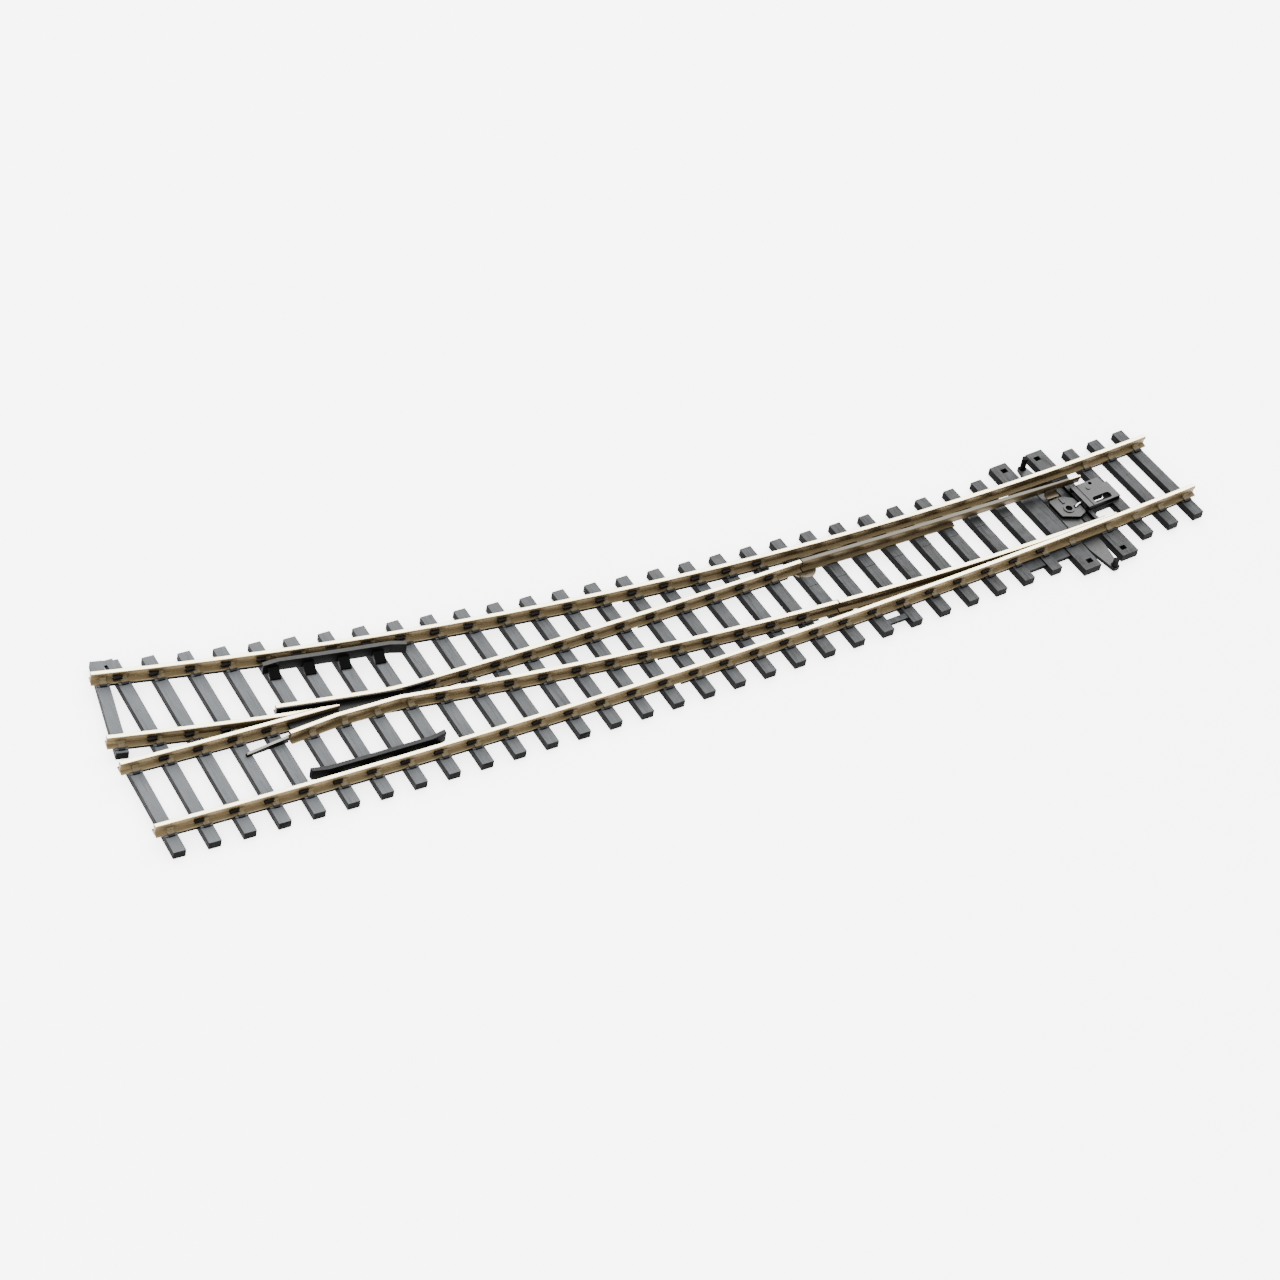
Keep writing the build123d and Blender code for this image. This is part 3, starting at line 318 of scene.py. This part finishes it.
# Painted highlight: the rear check rail's top above 4.1 mm takes a lighter colour; its sides stay near
# black.
lit_check = moulded_material("lit_check", (0.011, 0.010, 0.0085, 1), grey(0.001), above=4.1, gloss=0.2)
flare_plastic = moulded_material("flare_plastic", (0.17, 0.16, 0.135, 1), grey(0.002), above=2.4)
REAR_PIP = Vector((98.2709, -2.7551, 0)) * MM
FRONT_PIP = Vector((97.7349, -36.2508, 0)) * MM
PIP_REACH = 0.95 * MM
PIPS = ((REAR_PIP, PIP_REACH), (FRONT_PIP, PIP_REACH))
# Painted light and shade: the tie bar's and cover's tops take a lighter grey than their near-black sides.
bar_plastic = moulded_material("bar_plastic", grey(0.012), grey(0.0015), dark_spots=PIPS)
cover_plastic = moulded_material("cover_plastic", grey(0.014), grey(0.0015))
fitting_metal = metal_material("fitting_metal", (0.12, 0.100, 0.070, 1), (0.05, 0.038, 0.022, 1))
spring_metal = metal_material("spring_metal", (0.75, 0.75, 0.73, 1), (0.40, 0.39, 0.37, 1), 0.2)

LOOKS = {
    "toe_sleeper_base": sleeper,
    "switch_sleeper_base": sleeper,
    "crossing_sleeper_base": sleeper,
    "front_stock_rail": rail_outer,
    "rear_stock_rail": rail_inner,
    "front_closure_rail": rail_inner,
    "rear_closure_rail": rail_outer,
    "front_vee_rail": rail_outer,
    "rear_vee_rail": rail_inner,
    "crossing_filler": black_moulding,
    "wing_flare": flare_plastic,
    "front_check_rail": black_moulding,
    "rear_check_rail": lit_check,
    "front_blade": rail_inner,
    "rear_blade": open_blade,
    "front_blade_lug": fitting_metal,
    "rear_blade_lug": fitting_metal,
    "front_heel_plate": fitting_metal,
    "rear_heel_plate": fitting_metal,
    "front_heel_pin": fitting_metal,
    "rear_heel_pin": fitting_metal,
    "tie_bar": bar_plastic,
    "toggle_spring": spring_metal,
    "spring_cover": cover_plastic,
}
SLEEPER_ROUNDING = 0.12
FINE_ROUNDING = 0.05


def soften(obj, width):
    """Join the split vertices of a CAD mesh and round its sharp edges a little."""
    weld = obj.modifiers.new("join", "WELD")
    weld.merge_threshold = 0.0005 * MM
    bevel = obj.modifiers.new("round", "BEVEL")
    bevel.width = width * MM
    bevel.segments = 2
    bevel.limit_method = "ANGLE"
    bevel.angle_limit = math.radians(35)
    bevel.use_clamp_overlap = True
    bevel.harden_normals = False


for name, material in LOOKS.items():
    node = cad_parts[name]
    node.data.materials.clear()
    node.data.materials.append(material)
    soften(node, SLEEPER_ROUNDING if name.endswith("sleeper_base") else FINE_ROUNDING)


# ---- near-black blocks against each rail's front side, just past each chair towards the crossing ---
DASH_S = (-2.3, -0.5)
DASH_T = (-0.95, -0.30)
DASH_Z = (3.05, 3.80)
DASH_SLOPE = 0.12


def dash_places():
    """Every (s, t) where a rail is held by a chair on its front side."""
    for number in range(SLEEPER_COUNT - 1):
        s = FIRST_SLEEPER + SLEEPER_PITCH * number
        yield s, -RAIL_AXIS
        if s < SWITCH_END:
            continue
        yield s, inner_offset_at(s, RAIL_AXIS)
        if CROSSING[0] < s < CROSSING[1]:
            continue
        yield s, RAIL_AXIS
        yield s, inner_offset_at(s, -RAIL_AXIS)


def make_chair_dashes():
    points = []
    faces = []
    for s, t in dash_places():
        first = len(points)
        for z_index in (0, 1):
            for s_index, t_index in ((0, 0), (1, 0), (1, 1), (0, 1)):
                height = DASH_Z[z_index] - (DASH_SLOPE if z_index and not t_index else 0)
                points.append(outer(s - DASH_S[s_index], t + DASH_T[t_index], height))
        sides = [(n, (n + 1) % 4, 4 + (n + 1) % 4, 4 + n) for n in range(4)]
        for face in [(0, 1, 2, 3), (7, 6, 5, 4)] + sides:
            faces.append([first + corner for corner in face])
    mesh = bpy.data.meshes.new("chair_dashes")
    mesh.from_pydata(points, [], faces)
    mesh.materials.append(chair_plastic)
    dash_blocks = bpy.data.objects.new("chair_dashes", mesh)
    bpy.context.scene.collection.objects.link(dash_blocks)
    soften(dash_blocks, SLEEPER_ROUNDING)
    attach(dash_blocks, "base")


make_chair_dashes()


# ---- studio -------------------------------------------------------------------------------------
def look_at(obj, target):
    direction = (target - obj.location).normalized()
    obj.rotation_euler = direction.to_track_quat("-Z", "Y").to_euler()


def area_light(name, location, target, size, power, colour=(1, 1, 1)):
    data = bpy.data.lights.new(name, "AREA")
    data.shape = "RECTANGLE"
    data.size = size[0]
    data.size_y = size[1]
    data.energy = power
    data.color = colour
    lamp = bpy.data.objects.new(name, data)
    bpy.context.scene.collection.objects.link(lamp)
    lamp.location = location
    look_at(lamp, target)
    return lamp


def make_floor():
    mesh = bpy.data.meshes.new("studio_floor")
    half = 3.0
    corners = [(-half, -half, 0), (half, -half, 0), (half, half, 0), (-half, half, 0)]
    mesh.from_pydata(corners, [], [(0, 1, 2, 3)])
    floor = bpy.data.objects.new("studio_floor", mesh)
    bpy.context.scene.collection.objects.link(floor)
    g = Graph("studio_paper")
    g.set("Base Color", (0.97, 0.97, 0.97, 1))
    g.set("Roughness", 0.9)
    g.set("Emission Color", (1, 1, 1, 1))
    g.set("Emission Strength", 3.0)
    fibre = g.noise(g.position(), scale=900.0, detail=3.0)
    g.bump(fibre, 0.05, 0.02 * MM)
    mesh.materials.append(g.material)
    floor.location = (0, 0, -0.0002)


AZIMUTH = math.radians(-43.58055)
ELEVATION = math.radians(44.33784)
ROLL = math.radians(12.1132)
DISTANCE = 925.638 * MM
FOCAL_PIXELS = 4468.136
PICTURE_PIXELS = 1280.0
TARGET = Vector(((-140.1657 + SHIFT.x) * MM, (7.3408 + SHIFT.y) * MM, RAIL_TOP * MM))


def make_camera():
    back = Vector((
        math.sin(AZIMUTH) * math.cos(ELEVATION),
        -math.cos(AZIMUTH) * math.cos(ELEVATION),
        math.sin(ELEVATION),
    ))
    level = Vector((0, 0, 1)).cross(back).normalized()
    upright = back.cross(level)
    right = math.cos(ROLL) * level + math.sin(ROLL) * upright
    up = math.cos(ROLL) * upright - math.sin(ROLL) * level
    data = bpy.data.cameras.new("camera")
    data.sensor_width = 36.0
    data.lens = 36.0 * FOCAL_PIXELS / PICTURE_PIXELS
    data.clip_start = 0.01
    camera = bpy.data.objects.new("camera", data)
    bpy.context.scene.collection.objects.link(camera)
    turn = Matrix((right, up, back)).transposed()
    camera.matrix_world = Matrix.Translation(TARGET + back * DISTANCE) @ turn.to_4x4()
    bpy.context.scene.camera = camera
    return back


back = make_camera()
make_floor()
flat_back = Vector((back.x, back.y, 0)).normalized()
behind = TARGET - flat_back * 0.9 + Vector((0, 0, 0.85))
area_light("back_softbox", behind, TARGET, (1.6, 1.0), 38.0)
left = Vector((-0.9, 0.1, 0.7))
area_light("left_fill", left, TARGET, (0.9, 0.9), 14.0, (0.97, 0.98, 1.0))
front = TARGET + flat_back * 0.9 + Vector((0.2, 0, 0.55))
area_light("front_fill", front, TARGET, (0.9, 0.6), 11.0, (1.0, 0.98, 0.95))

world = bpy.data.worlds.new("studio_world")
world.use_nodes = True
world.node_tree.nodes["Background"].inputs[0].default_value = (1, 1, 1, 1)
world.node_tree.nodes["Background"].inputs[1].default_value = 2.1
bpy.context.scene.world = world
